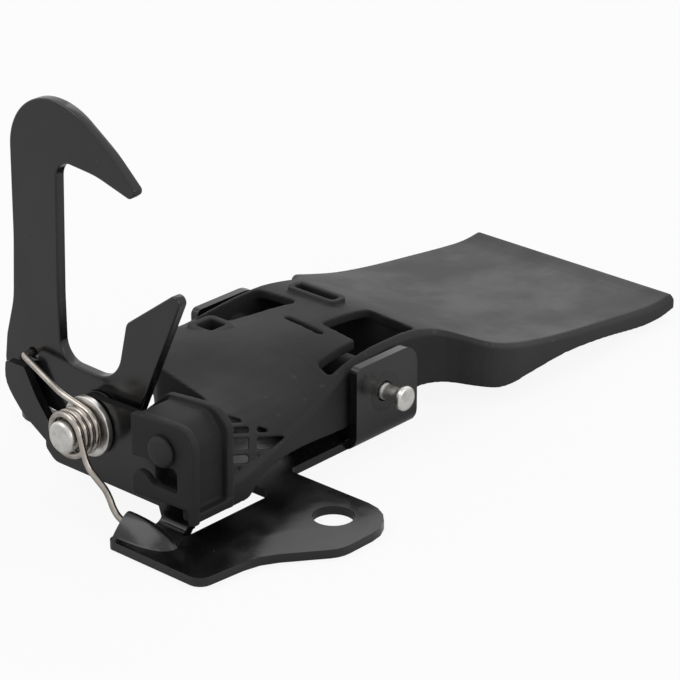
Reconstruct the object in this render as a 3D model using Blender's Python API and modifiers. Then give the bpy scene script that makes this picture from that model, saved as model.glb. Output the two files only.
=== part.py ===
# Bonnet latch: a folded steel bracket with a sprung safety hook and a moulded release paddle.
# All sizes below are in millimetres, and every maker turns them into metres with MM.
# +X points to the latch's right, +Y runs from the nose back to the paddle's tip, +Z is up.
# The drawing's zero is the right ear's front corner: its outer face lies in X = 0 and its front
# edge in Y = 0, with the bracket's underside in Z = 0. The finished part is moved so that its own
# zero, FRAME_ZERO, lies on the underside below the lever's pin, midway between the ears.

import math

import bmesh
import bpy
from mathutils import Matrix, Vector

MM = 0.001

# Bracket sheet
SHEET = 2.0
BEND_IN = 2.0
EAR_SPAN = 50.0
EAR_DEPTH = 20.0
EAR_HEIGHT = 20.0
EAR_CORNER = 4.5
BASE_INSET = 3.0
BASE_FRONT = -18.6
WING_HOLE_R = 4.5
WING_HOLE_RIGHT = (18.4, -27.9)
WING_HOLE_LEFT = (-EAR_SPAN - 12.0, -27.0)
WING_END_R = 9.6
TAB_LEFT = -9.0
TAB_RIGHT = 17.5
TAB_FRONT = -66.5
DOME_Y = -60.3
DOME_HEIGHT = 4.2
DOME_LENGTH = 12.5
DOME_WIDTH = 7.8

# Front flange that carries the hook
FLANGE_FRONT = -53.0
FLANGE_LOW = 5.0
FLANGE_TOP = 24.4
FLANGE_FOLD_LEFT = -6.5
FLANGE_FOLD_RIGHT = 1.0
RELIEF = 1.2

# Hook and its stud
HOOK_SHEET = 2.5
HOOK_PIVOT = (-26.7, 17.5)
HOOK_EYE_R = 8.0
STUD_R = 3.55
STUD_OUT = 7.6
WASHER_R = 6.65
WASHER_THICK = 1.4
SLIP_THICK = 0.5
REAR_THICK = 1.0
RIVET_HEAD = 1.8

# Hook spring
WIRE_R = 0.72
COIL_TURNS = 3
COIL_GAP = 0.3
COIL_LOOSE = 0.14
LEG_HOLE = (-47.4, 26.4)
LEG_HOLE_R = 1.25
LEG_FOOT = (-8.4, -60.4, 2.35)

# Lever and its pin
PIVOT_Y = EAR_DEPTH / 2.0 - 0.9
PIVOT_Z = EAR_HEIGHT - 8.0
PIN_R = 2.95
PIN_NECK_R = 2.1
PIN_OUT = 6.6
PIN_HEAD_R = 4.6
PIN_HEAD = 1.6
BARREL_R = 5.0
BUSH_WALL = 0.9
BUSH_FLANGE_R = 5.6
BUSH_FLANGE = 0.8
ARM_GAP = 1.4
WALL = 2.2
TIP_Y = 108.0
PADDLE_HALF = 31.0
NOSE_FRONT = -57.2
NOSE_PLATE = 2.0
RIB_FRONT = -46.4
RIB_THICK = 2.0
BUFFER_AT = (-1.5, 21.1)
LATTICE_AT = (2.0, -37.5, 17.6)
LATTICE_TURN = math.radians(42.0)
LATTICE_TILT = math.radians(24.0)
LATTICE_DEEP = -2.6
HEAD_WALL_FRONT = 25.4
HEAD_WALL_REAR = 27.4
HEAD_WALL_LOW = 7.0
LEFT_WINDOW = [(-44.4, -5.0, 1.5), (-33.5, -5.4, 1.5), (-32.6, 8.0, 6.0),
               (-31.4, 15.4, 1.5), (-44.4, 15.8, 1.5)]
RIGHT_WINDOW = ((-19.2, 9.6), (-5.4, 25.2), 1.0)
SIDE_WINDOW = ((-9.2, -3.0), (-5.4, 11.0), 1.2)
COVER_SLOT = ((-26.5, 5.2), (-15.5, 6.7), 0.7)
WINDOW_LOW = 10.0
SLOT_LOW = 16.0
COVER_OVER = 40.0
SQUARE_EYE = ((-37.4, -15.0), (-29.0, -6.6), 24.6, 5.0, 1.3, 1.8)
OVAL_EYE = ((-38.9, 18.9), (-24.0, 24.2), 22.7, 3.0, 1.2, 1.5)
RIB_COLUMNS = (-16.0, 0.0, 16.0)
RIB_ROWS = (44.0, 62.0, 80.0)
RIB_FROM = 26.4
RIB_WIDTH = 1.6
RIB_LOW = 3.2
RIB_STEP = 0.5
RIB_SINK = 0.6
BUFFER_R = 3.4

# Fits
GAP = 0.3
ARC_STEP = math.radians(18.0)
CUT_OVER = 1.0
ROUND_STEPS = 32
SECTION_STEPS = 18
ROW_STEPS = 3
GRID = 0.0001 * MM
WELD = 0.0005 * MM
FLAT = math.radians(0.05)

CENTRE_X = -EAR_SPAN / 2.0
ARM_RIGHT = -SHEET - ARM_GAP
ARM_HALF = ARM_RIGHT - CENTRE_X
FLANGE_REAR = FLANGE_FRONT + SHEET
HOOK_FRONT = FLANGE_REAR + SLIP_THICK + 2.0 * GAP
HOOK_REAR = HOOK_FRONT + HOOK_SHEET
WASHER_REAR = FLANGE_FRONT - GAP
WASHER_FRONT = WASHER_REAR - WASHER_THICK
REAR_FRONT = HOOK_REAR + GAP
REAR_REAR = REAR_FRONT + REAR_THICK
FRAME_ZERO = (CENTRE_X, PIVOT_Y, 0.0)


# Collections and materials

def clear_scene():
    for thing in list(bpy.data.objects):
        bpy.data.objects.remove(thing, do_unlink=True)


def make_collection(name):
    found = bpy.data.collections.get(name)
    if found is None:
        found = bpy.data.collections.new(name)
        bpy.context.scene.collection.children.link(found)
    return found


def make_material(name, colour, metallic, roughness):
    material = bpy.data.materials.new(name)
    material.use_nodes = True
    shader = material.node_tree.nodes["Principled BSDF"]
    shader.inputs["Base Color"].default_value = (*colour, 1.0)
    shader.inputs["Metallic"].default_value = metallic
    shader.inputs["Roughness"].default_value = roughness
    return material


# Outlines

def rounded(corners):
    """Turn (u, v, radius) corners into outline points, with an arc at each rounded corner."""
    points = []
    count = len(corners)
    for index, (u, v, radius) in enumerate(corners):
        here = Vector((u, v))
        if radius <= 0.0:
            points.append((u, v))
            continue
        before = Vector(corners[index - 1][:2])
        after = Vector(corners[(index + 1) % count][:2])
        to_before = (before - here).normalized()
        to_after = (after - here).normalized()
        half = to_before.angle(to_after) / 2.0
        reach = radius / math.tan(half)
        centre = here + (to_before + to_after).normalized() * (radius / math.sin(half))
        start = here + to_before * reach - centre
        end = here + to_after * reach - centre
        sweep = start.angle_signed(end)
        steps = max(2, math.ceil(abs(sweep) / ARC_STEP))
        for step in range(steps + 1):
            turned = start.copy()
            turned.rotate(Matrix.Rotation(-sweep * step / steps, 2))
            points.append(tuple(centre + turned))
    return points


def circle(centre, radius, steps=ROUND_STEPS):
    """A round outline about a centre."""
    return [(centre[0] + radius * math.cos(2.0 * math.pi * step / steps),
             centre[1] + radius * math.sin(2.0 * math.pi * step / steps)) for step in range(steps)]


def arc_corners(centre, radius, start, step, count):
    """Sharp corners along an arc, in degrees, for use between other corners."""
    angles = [math.radians(start + step * index) for index in range(count)]
    return [(centre[0] + radius * math.cos(angle), centre[1] + radius * math.sin(angle), 0.0)
            for angle in angles]


def box_outline(low, high, radius):
    """A rectangle between two corners, with round corners."""
    return rounded([(low[0], low[1], radius), (high[0], low[1], radius),
                    (high[0], high[1], radius), (low[0], high[1], radius)])


# Makers

def link(name, mesh):
    thing = bpy.data.objects.new(name, mesh)
    PARTS.objects.link(thing)
    return thing


def bake(thing):
    """Replace an object by the mesh that its modifiers or curve give, in world space."""
    graph = bpy.context.evaluated_depsgraph_get()
    mesh = bpy.data.meshes.new_from_object(thing.evaluated_get(graph))
    mesh.transform(thing.matrix_world)
    edit = bmesh.new()
    edit.from_mesh(mesh)
    for vert in edit.verts:
        vert.co = [round(value / GRID) * GRID for value in vert.co]
    bmesh.ops.remove_doubles(edit, verts=edit.verts, dist=WELD)
    bmesh.ops.dissolve_limit(edit, angle_limit=FLAT, verts=edit.verts, edges=edit.edges)
    edit.to_mesh(mesh)
    edit.free()
    name = thing.name
    bpy.data.objects.remove(thing, do_unlink=True)
    return link(name, mesh)


PLANES = {
    "XY": Matrix(((1, 0, 0), (0, 1, 0), (0, 0, 1))),
    "XZ": Matrix(((1, 0, 0), (0, 0, -1), (0, 1, 0))),
    "YZ": Matrix(((0, 0, 1), (1, 0, 0), (0, 1, 0))),
}
PLANE_NORMAL_SIGN = {"XY": 1.0, "XZ": -1.0, "YZ": 1.0}


def slab(name, loops, plane, low, high):
    """Extrude flat outlines between two heights on the axis that their plane leaves out."""
    curve = bpy.data.curves.new(name, "CURVE")
    curve.dimensions = "2D"
    curve.fill_mode = "BOTH"
    curve.extrude = (high - low) / 2.0 * MM
    for loop in loops:
        spline = curve.splines.new("POLY")
        spline.points.add(len(loop) - 1)
        for point, (u, v) in zip(spline.points, loop):
            point.co = (u * MM, v * MM, 0.0, 1.0)
        spline.use_cyclic_u = True
    thing = link(name, curve)
    middle = (low + high) / 2.0 * MM * PLANE_NORMAL_SIGN[plane]
    turn = PLANES[plane].to_4x4()
    thing.matrix_world = turn @ Matrix.Translation((0.0, 0.0, middle))
    bpy.context.view_layer.update()
    return bake(thing)


def block(name, low, high):
    """A plain box between two corners."""
    mesh = bpy.data.meshes.new(name)
    edit = bmesh.new()
    bmesh.ops.create_cube(edit, size=1.0)
    size = Vector(high) - Vector(low)
    middle = (Vector(high) + Vector(low)) / 2.0
    edit.transform(Matrix.Translation(middle * MM) @ Matrix.Diagonal((*(size * MM), 1.0)))
    edit.to_mesh(mesh)
    edit.free()
    return link(name, mesh)


def turned(name, profile, axis, at, steps=ROUND_STEPS):
    """Spin a (radius, height) profile, outer side first from the top down, about an axis."""
    mesh = bpy.data.meshes.new(name)
    verts = [(radius * MM, 0.0, height * MM) for radius, height in profile]
    edges = [(index, index + 1) for index in range(len(verts) - 1)]
    if profile[0][0] > 0.0 and profile[-1][0] > 0.0:
        edges.append((len(verts) - 1, 0))
    mesh.from_pydata(verts, edges, [])
    thing = link(name, mesh)
    screw = thing.modifiers.new("turn", "SCREW")
    screw.axis = "Z"
    screw.steps = steps
    screw.render_steps = steps
    screw.use_merge_vertices = True
    screw.merge_threshold = 0.00001
    turn = Vector((0.0, 0.0, 1.0)).rotation_difference(Vector(axis)).to_matrix().to_4x4()
    thing.matrix_world = Matrix.Translation(Vector(at) * MM) @ turn
    bpy.context.view_layer.update()
    return bake(thing)


def combine(target, tool, operation):
    """Apply one exact Boolean and drop the tool."""
    modifier = target.modifiers.new(operation, "BOOLEAN")
    modifier.operation = operation
    modifier.solver = "EXACT"
    modifier.object = tool
    bpy.context.view_layer.update()
    result = bake(target)
    bpy.data.objects.remove(tool, do_unlink=True)
    return result


def add(target, *tools):
    for tool in tools:
        target = combine(target, tool, "UNION")
    return target


def cut(target, *tools):
    for tool in tools:
        target = combine(target, tool, "DIFFERENCE")
    return target


def keep(target, tool):
    return combine(target, tool, "INTERSECT")


def finish(thing, material, origin, smooth_angle=math.radians(32.0)):
    """Give a piece its material, its shading and its origin."""
    thing.data.materials.clear()
    thing.data.materials.append(material)
    start = Vector(origin) * MM
    thing.data.transform(Matrix.Translation(-start))
    thing.location = start - Vector(FRAME_ZERO) * MM
    thing.data.shade_smooth()
    thing.data.set_sharp_from_angle(angle=smooth_angle)
    return thing


# Base bracket

def base_plate():
    """The flat sheet: a middle between the ears, two wings, and a front tab on the right."""
    right_x, right_y = WING_HOLE_RIGHT
    left_x, left_y = WING_HOLE_LEFT
    arm_blank = FLANGE_FRONT + FLANGE_TOP
    fold_line = FLANGE_FRONT - BEND_IN
    inner = BASE_INSET
    end = WING_END_R
    corners = [
        (-inner, 0.0, 0.0), (-inner, BASE_FRONT, 2.0),
        (right_x + end + 1.5, BASE_FRONT, end), (right_x + end + 1.5, right_y - end, 7.0),
        (TAB_RIGHT + 1.5, FLANGE_REAR, 14.0), (TAB_RIGHT, TAB_FRONT, 3.0),
        (TAB_LEFT, TAB_FRONT, 1.5), (TAB_LEFT, fold_line, 1.0),
        (FLANGE_FOLD_RIGHT + RELIEF, fold_line, 0.6),
        (FLANGE_FOLD_RIGHT + RELIEF, arm_blank, 3.0), (-EAR_SPAN, arm_blank, 3.0),
        (left_x + 1.0, left_y - end, 5.0), (left_x - end, left_y - end, 7.0),
        (left_x - end, BASE_FRONT, 8.0), (-EAR_SPAN + inner, BASE_FRONT, 2.0),
        (-EAR_SPAN + inner, 0.0, 0.0), (-EAR_SPAN + inner, EAR_DEPTH, 0.0), (-inner, EAR_DEPTH, 0.0)]
    holes = [circle(WING_HOLE_RIGHT, WING_HOLE_R), circle(WING_HOLE_LEFT, WING_HOLE_R)]
    return slab("base_bracket", [rounded(corners)] + holes, "XY", 0.0, SHEET)


def bend_profile(flat_end, height):
    """A sheet's section: flat along u, then bent up by a quarter turn at u = 0."""
    outer = BEND_IN + SHEET
    return rounded([(-flat_end, 0.0, 0.0), (0.0, 0.0, outer), (0.0, height, 0.0),
                    (-SHEET, height, 0.0), (-SHEET, SHEET, BEND_IN), (-flat_end, SHEET, 0.0)])


def ear(side):
    """One ear: a bent strip trimmed to the ear's outline, with the pin's hole."""
    section = bend_profile(BEND_IN + SHEET + 2.0, EAR_HEIGHT)
    if side < 0:
        section = [(-EAR_SPAN - u, v) for u, v in reversed(section)]
    strip = slab("ear", [section], "XZ", 0.0, EAR_DEPTH)
    shape = rounded([(0.0, -CUT_OVER, 0.0), (EAR_DEPTH, -CUT_OVER, 0.0),
                     (EAR_DEPTH, EAR_HEIGHT, EAR_CORNER), (0.0, EAR_HEIGHT, 1.5)])
    middle = -EAR_SPAN if side < 0 else 0.0
    reach = EAR_SPAN / 3.0
    trim = slab("trim", [shape], "YZ", middle - reach, middle + reach)
    bore = slab("bore", [circle((PIVOT_Y, PIVOT_Z), PIN_R + BUSH_WALL + 2.0 * GAP)], "YZ",
                middle - SHEET - CUT_OVER, middle + SHEET + CUT_OVER)
    return cut(keep(strip, trim), bore)


def front_flange():
    """The upright flange with its crescent arm, and the fold that joins it to the tab."""
    pivot_x, pivot_z = HOOK_PIVOT
    boss = WASHER_R - 0.4
    arc = arc_corners(HOOK_PIVOT, boss, 90.0, 15.0, 9)
    right = FLANGE_FOLD_RIGHT
    shape = rounded([
        (-38.5, 11.8, 1.0), (-43.8, 18.2, 18.0), (-47.2, 24.3, 0.8), (-53.0, 24.2, 0.8),
        (-53.6, 19.5, 6.0), (-49.1, 13.7, 16.0), (-41.3, 9.0, 0.0), (-41.3, 7.4, 1.5),
        (-38.6, FLANGE_LOW, 3.0), (FLANGE_FOLD_LEFT - 1.0, FLANGE_LOW, 0.0),
        (FLANGE_FOLD_LEFT, BEND_IN, 0.0), (right, BEND_IN, 0.0),
        (right, FLANGE_TOP - 5.0, 3.0), (right - 6.0, FLANGE_TOP, 2.0)] + arc)
    face = slab("flange", [shape], "XZ", FLANGE_FRONT, FLANGE_REAR)
    section = bend_profile(BEND_IN + SHEET + 2.0, BEND_IN + SHEET + CUT_OVER)
    section = [(FLANGE_REAR + u, v) for u, v in section]
    fold = slab("fold", [section], "YZ", FLANGE_FOLD_LEFT, right)
    bore = turned("bore", [(0.0, CUT_OVER + SHEET), (STUD_R + GAP, CUT_OVER + SHEET),
                           (STUD_R + GAP, -CUT_OVER), (0.0, -CUT_OVER)], (0.0, 1.0, 0.0),
                  (pivot_x, FLANGE_FRONT, pivot_z))
    return cut(add(fold, face), bore)


def dome(name, grow, start, low):
    """A half dome over the tab's left edge, as a loft of half-ellipse arches along X."""
    mesh = bpy.data.meshes.new(name)
    edit = bmesh.new()
    stations = 9
    steps = 12
    spring_line = SHEET / 2.0 + grow / 2.0
    reach = TAB_LEFT + DOME_LENGTH + grow
    rings = []
    for station in range(stations):
        share = station / (stations - 1)
        fade = math.sqrt(1.02 - share ** 2.4)
        half = (DOME_WIDTH / 2.0 + grow) * (0.25 + 0.75 * fade)
        height = (DOME_HEIGHT + grow - spring_line + SHEET / 2.0) * fade
        x = start + share * (reach - start)
        ring = []
        for step in range(steps + 1):
            angle = math.pi * step / steps
            z = spring_line + height * (1.0 - abs(math.cos(angle)) ** 1.35)
            ring.append(edit.verts.new((x * MM, (DOME_Y + half * math.cos(angle)) * MM, z * MM)))
        for side in (-1.0, 1.0):
            ring.append(edit.verts.new((x * MM, (DOME_Y + side * half) * MM, low * MM)))
        rings.append(ring)
    return lofted(name, mesh, edit, rings)


def lofted(name, mesh, edit, rings):
    """Join closed rings into one solid of triangles that faces outwards."""
    for first, second in zip(rings, rings[1:]):
        count = len(first)
        for index in range(count):
            following = (index + 1) % count
            edit.faces.new((first[index], second[index], second[following], first[following]))
    bmesh.ops.triangulate(edit, faces=edit.faces)
    edit.faces.new(rings[0])
    edit.faces.new(list(reversed(rings[-1])))
    bmesh.ops.recalc_face_normals(edit, faces=edit.faces)
    edit.to_mesh(mesh)
    edit.free()
    return link(name, mesh)


def base_bracket():
    body = base_plate()
    body = add(body, ear(1), ear(-1), front_flange())
    body = add(body, dome("dome_skin", SHEET / 2.0, TAB_LEFT, SHEET / 4.0))
    body = cut(body, dome("dome_hollow", -SHEET / 2.0, TAB_LEFT - CUT_OVER, -CUT_OVER))
    body.name = "base_bracket"
    return finish(body, MATERIALS["steel"], (0.0, 0.0, 0.0))


# Safety hook and its fixings

def safety_hook():
    """The hook plate: eye, upright, beak and the finger that the lever's ramp pushes."""
    pivot_x, pivot_z = HOOK_PIVOT
    eye = arc_corners(HOOK_PIVOT, HOOK_EYE_R, -27.0, -16.0, 9)
    shape = rounded(eye + [
        (-45.5, 15.2, 8.0), (-56.9, 20.4, 4.0), (-55.8, 28.6, 10.0), (-53.2, 37.5, 20.0),
        (-52.3, 52.0, 60.0), (-51.9, 85.0, 11.4), (-36.6, 86.3, 9.0), (-23.6, 78.9, 30.0),
        (-14.7, 71.4, 1.4), (-16.9, 69.2, 1.0), (-26.5, 71.8, 20.0), (-38.1, 72.7, 4.0),
        (-39.1, 42.0, 60.0), (-39.0, 27.5, 4.8), (-22.3, 27.1, 7.6), (-18.9, 41.6, 2.6),
        (-1.2, 54.6, 1.5)])
    plate = slab("safety_hook", [shape, circle(HOOK_PIVOT, STUD_R + GAP),
                                 circle(LEG_HOLE, LEG_HOLE_R, 16)], "XZ", HOOK_FRONT, HOOK_REAR)
    plate.name = "safety_hook"
    return finish(plate, MATERIALS["steel"], (pivot_x, HOOK_FRONT, pivot_z))


def ring_profile(inner, outer, low, high, edge):
    """A washer's section, with broken outer edges."""
    return [(inner, high), (outer - edge, high), (outer, high - edge), (outer, low + edge),
            (outer - edge, low), (inner, low)]


def hook_fixings():
    """The stud with its formed head, and the three washers on it, all turned about the Y axis."""
    pivot_x, pivot_z = HOOK_PIVOT
    at = (pivot_x, 0.0, pivot_z)
    along = (0.0, 1.0, 0.0)
    front = WASHER_FRONT - STUD_OUT
    head = REAR_REAR + GAP
    chamfer = 0.6
    stud = turned("hook_stud", [
        (0.0, head + RIVET_HEAD), (STUD_R + 0.4, head + RIVET_HEAD), (STUD_R + 2.0, head + 0.6),
        (STUD_R + 2.0, head), (STUD_R, head), (STUD_R, front + chamfer),
        (STUD_R - chamfer, front), (0.0, front)], along, at)
    finish(stud, MATERIALS["zinc"], at)
    inner = STUD_R + GAP
    washer = turned("stud_washer", ring_profile(inner, WASHER_R, WASHER_FRONT, WASHER_REAR, 0.25),
                    along, at)
    finish(washer, MATERIALS["zinc"], at)
    slip_low = FLANGE_REAR + GAP
    slip_high = slip_low + SLIP_THICK
    slip = turned("slip_washer", ring_profile(inner, HOOK_EYE_R - 1.5, slip_low, slip_high, 0.1), along, at)
    finish(slip, MATERIALS["nylon"], at)
    rear = turned("rear_washer", ring_profile(inner, STUD_R + 3.2, REAR_FRONT, REAR_REAR, 0.2),
                  along, at)
    finish(rear, MATERIALS["zinc"], at)


def smooth_run(points, per_span):
    """Points along a smooth curve that passes through every given point."""
    run = []
    padded = [points[0]] + points + [points[-1]]
    for index in range(1, len(padded) - 2):
        a, b, c, d = (Vector(padded[index + shift]) for shift in (-1, 0, 1, 2))
        for step in range(per_span):
            t = step / per_span
            run.append(0.5 * ((2.0 * b) + (c - a) * t + (2.0 * a - 5.0 * b + 4.0 * c - d) * t * t
                              + (3.0 * b - a - 3.0 * c + d) * t ** 3))
    run.append(Vector(points[-1]))
    return run


def hook_spring():
    """Torsion spring: a close coil on the stud, a leg into the hook's hole, a leg to the tab."""
    pivot_x, pivot_z = HOOK_PIVOT
    radius = STUD_R + GAP + WIRE_R + COIL_LOOSE
    pitch = 2.0 * WIRE_R + COIL_GAP
    back = WASHER_FRONT - GAP - WIRE_R
    hole_x, hole_z = LEG_HOLE
    inside = HOOK_FRONT + HOOK_SHEET * 0.7
    knee = HOOK_FRONT - 1.9
    lead_x = hole_x + 1.6
    lead_z = hole_z - 0.3
    from_axis = Vector((lead_x - pivot_x, lead_z - pivot_z))
    start = math.atan2(from_axis.y, from_axis.x) - math.acos(radius / from_axis.length)
    touch_x = pivot_x + radius * math.cos(start)
    touch_z = pivot_z + radius * math.sin(start)
    upper = smooth_run([(hole_x, inside, hole_z), (hole_x, HOOK_FRONT - 0.4, hole_z),
                        (hole_x + 0.3, knee + 0.4, hole_z + 0.1), (lead_x, knee - 0.3, lead_z),
                        (lead_x + 0.45 * (touch_x - lead_x), back, lead_z + 0.45 * (touch_z - lead_z))], 4)
    finish_angle = math.radians(-12.0)
    sweep = 2.0 * math.pi * COIL_TURNS + (start - finish_angle)
    steps = round(sweep / (2.0 * math.pi) * 20)
    coil = []
    for step in range(steps + 1):
        angle = start - sweep * step / steps
        y = back - pitch * (sweep * step / steps) / (2.0 * math.pi)
        coil.append((pivot_x + radius * math.cos(angle), y, pivot_z + radius * math.sin(angle)))
    last = coil[-1]
    front = last[1]
    foot_x, foot_y, foot_z = LEG_FOOT
    lower = smooth_run([last, (-21.6, front - 0.1, 14.6), (-19.4, front, 11.8), (-17.2, front, 9.4),
                        (-14.9, front, 6.8), (-13.2, front + 0.1, 4.7), (-11.4, foot_y - 0.4, 3.4),
                        (foot_x, foot_y, foot_z)], 3)
    path = upper + [Vector(point) for point in coil] + lower[1:]
    curve = bpy.data.curves.new("hook_spring", "CURVE")
    curve.dimensions = "3D"
    curve.bevel_depth = WIRE_R * MM
    curve.bevel_resolution = 2
    curve.use_fill_caps = True
    spline = curve.splines.new("POLY")
    spline.points.add(len(path) - 1)
    for point, place in zip(spline.points, path):
        point.co = (*(Vector(place) * MM), 1.0)
    wire = bake(link("hook_spring", curve))
    return finish(wire, MATERIALS["spring"], (pivot_x, back, pivot_z))


# Release lever

def station_rows():
    """Y, half flare, right bottom, right crease, left crease, crown and squareness along the lever."""
    flare = PADDLE_HALF - ARM_HALF
    return [
        (RIB_FRONT + 0.4, 9.0, 6.0, 12.0, 17.5, 25.9, 1.0),
        (-42.0, 8.7, 5.8, 12.0, 17.7, 25.8, 1.0),
        (-38.4, 8.0, 5.5, 12.0, 17.9, 25.7, 0.95),
        (-34.5, 6.9, 7.3, 12.0, 18.1, 25.5, 0.85),
        (-28.0, 5.1, 8.1, 12.2, 18.5, 25.2, 0.65),
        (-21.0, 3.3, 7.7, 12.9, 18.8, 24.9, 0.4),
        (-12.0, 1.5, 6.5, 14.2, 19.2, 24.4, 0.15),
        (-5.0, 0.4, 5.4, 16.6, 19.8, 23.8, 0.0),
        (2.0, 0.0, 5.0, 19.2, 20.6, 23.2, 0.0),
        (10.0, 0.0, 5.6, 20.4, 21.2, 22.6, 0.0),
        (18.0, 0.0, 6.6, 20.6, 21.2, 22.0, 0.0),
        (25.0, 0.0, 6.6, 20.0, 20.2, 20.8, 0.0),
        (32.0, 1.6, 5.6, 18.2, 18.2, 18.4, 0.0),
        (38.0, flare - 1.6, 4.2, 15.6, 15.6, 15.7, 0.0),
        (44.0, flare, 2.9, 13.4, 13.4, 13.4, 0.0),
        (54.0, flare, 3.2, 10.8, 10.8, 10.8, 0.0),
        (66.0, flare, 3.8, 8.7, 8.7, 8.7, 0.0),
        (80.0, flare, 2.8, 6.9, 6.9, 6.9, 0.0),
        (94.0, flare, 0.9, 5.2, 5.2, 5.2, 0.0),
        (102.0, flare, 0.6, 4.6, 4.6, 4.6, 0.0),
        (TIP_Y, flare, 1.6, 5.1, 5.1, 5.1, 0.0)]


def section(row, inset):
    """One cross-section of the lever's form, moved inwards by a wall where it is the hollow."""
    y, flare, low, right_z, left_z, crown, square = row
    right = CENTRE_X + ARM_HALF + flare - inset
    left_flare = flare if y > 0.0 else 0.0
    left = CENTRE_X - ARM_HALF - left_flare + inset
    corner = 1.2 if inset == 0.0 else 0.4
    bottom = low if inset == 0.0 else -20.0
    points = [(left, bottom), (left, left_z - inset - corner)]
    for step in range(SECTION_STEPS + 1):
        share = 0.5 - 0.5 * math.cos(math.pi * step / SECTION_STEPS)
        x = left + corner + (right - left - 2.0 * corner) * share
        edge = left_z + (right_z - left_z) * share
        arch = max(0.0, math.sin(math.pi * share)) ** 0.8
        box = max(0.0, 1.0 - abs(2.0 * share - 1.0) ** 7.0) ** 0.667
        rise = (crown - (left_z + right_z) / 2.0) * (arch + (box - arch) * square)
        points.append((x, edge + rise - inset))
    points += [(right, right_z - inset - corner), (right, bottom)]
    return [(x, y, z) for x, z in points]


def blend_rows(rows, per_span):
    """Smooth rows between the given stations."""
    padded = [rows[0]] + rows + [rows[-1]]
    blended = []
    for index in range(1, len(padded) - 2):
        a, b, c, d = padded[index - 1:index + 3]
        for step in range(per_span):
            t = step / per_span
            blended.append(tuple(
                0.5 * (2.0 * q + (r - p) * t + (2.0 * p - 5.0 * q + 4.0 * r - s) * t * t
                       + (3.0 * q - p - 3.0 * r + s) * t ** 3)
                for p, q, r, s in zip(a, b, c, d)))
    blended.append(rows[-1])
    return blended


def lever_form(name, inset):
    """The lever's outer form or its hollow, as a loft through the stations."""
    rows = blend_rows(station_rows(), ROW_STEPS)
    if inset > 0.0:
        first = rows[0]
        start = first[0] + WALL
        rows = [(start,) + first[1:]] + [row for row in rows if start + WALL / 2.0 < row[0] < TIP_Y - WALL]
    mesh = bpy.data.meshes.new(name)
    edit = bmesh.new()
    rings = [[edit.verts.new([value * MM for value in point]) for point in section(row, inset)]
             for row in rows]
    return lofted(name, mesh, edit, rings)


def finger_bay(name, wall):
    """The space in front of the cover that the hook's finger swings through."""
    front = NOSE_FRONT - 12.8
    outer_left = -EAR_SPAN - 10.0
    shape = rounded([
        (outer_left, -19.0 + wall, 0.0), (-43.5, -18.8 + wall, 6.0), (-24.5, -36.2 + wall, 5.0),
        (-6.0 + wall, -38.2 + wall, 4.0), (-5.6 + wall, front, 0.0), (outer_left, front, 0.0)])
    return slab(name, [shape], "XY", -30.0, 60.0)


def nose_block():
    """The nose: a front plate open to the left, a skin behind it, a rib, and the ramp."""
    rear = RIB_FRONT + RIB_THICK
    plate_rear = NOSE_FRONT + NOSE_PLATE
    front_shape = rounded([
        (-10.8, 26.8, 0.6), (7.3, 28.2, 4.6), (6.9, 6.3, 0.6), (5.2, 6.3, 0.4), (5.2, 9.5, 0.5),
        (-10.8, 8.5, 0.4), (-10.9, 12.4, 0.8), (-9.3, 14.5, 1.4), (-6.7, 13.8, 1.2), (-5.0, 12.2, 1.2),
        (2.1, 12.3, 0.6), (2.2, 17.7, 1.0), (-10.9, 17.2, 0.4)])
    plate = slab("nose_plate", [front_shape, circle(BUFFER_AT, BUFFER_R - 0.8, 20)], "XZ",
                 NOSE_FRONT, plate_rear)
    skin_shape = rounded([
        (-10.0, 26.5, 0.0), (1.4, 27.1, 4.5), (4.3, 23.0, 4.0), (4.0, 8.4, 0.0), (6.2, 8.4, 0.0),
        (6.0, 6.2, 0.4), (2.2, 6.2, 0.4), (2.4, 22.4, 3.0), (-0.6, 25.4, 3.0), (-10.0, 25.1, 0.0)])
    skin = slab("nose_skin", [skin_shape], "XZ", plate_rear - 0.5, rear - 0.5)
    rib_shape = rounded([
        (-18.8, 20.3, 0.8), (-11.2, 27.0, 1.5), (-4.0, 27.8, 3.0), (2.4, 28.3, 4.0), (6.4, 25.0, 3.0),
        (5.9, 6.2, 0.5), (2.0, 6.2, 0.5), (2.0, 20.0, 2.0), (-8.0, 20.5, 2.0)])
    rib = slab("nose_rib", [rib_shape], "XZ", RIB_FRONT, rear)
    return add(plate, skin, rib)


def eyelet(name, low, high, top, depth, lip, hole_inset):
    """A raised rounded ring and the cutter for its hole."""
    ring = slab(name, [box_outline(low, high, lip * 1.6)], "XY", top - depth, top)
    inner_low = (low[0] + hole_inset, low[1] + hole_inset)
    inner_high = (high[0] - hole_inset, high[1] - hole_inset)
    hole = slab(name + "_hole", [box_outline(inner_low, inner_high, lip * 0.4)], "XY",
                top - depth - 6.0, top + CUT_OVER)
    return ring, hole


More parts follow.
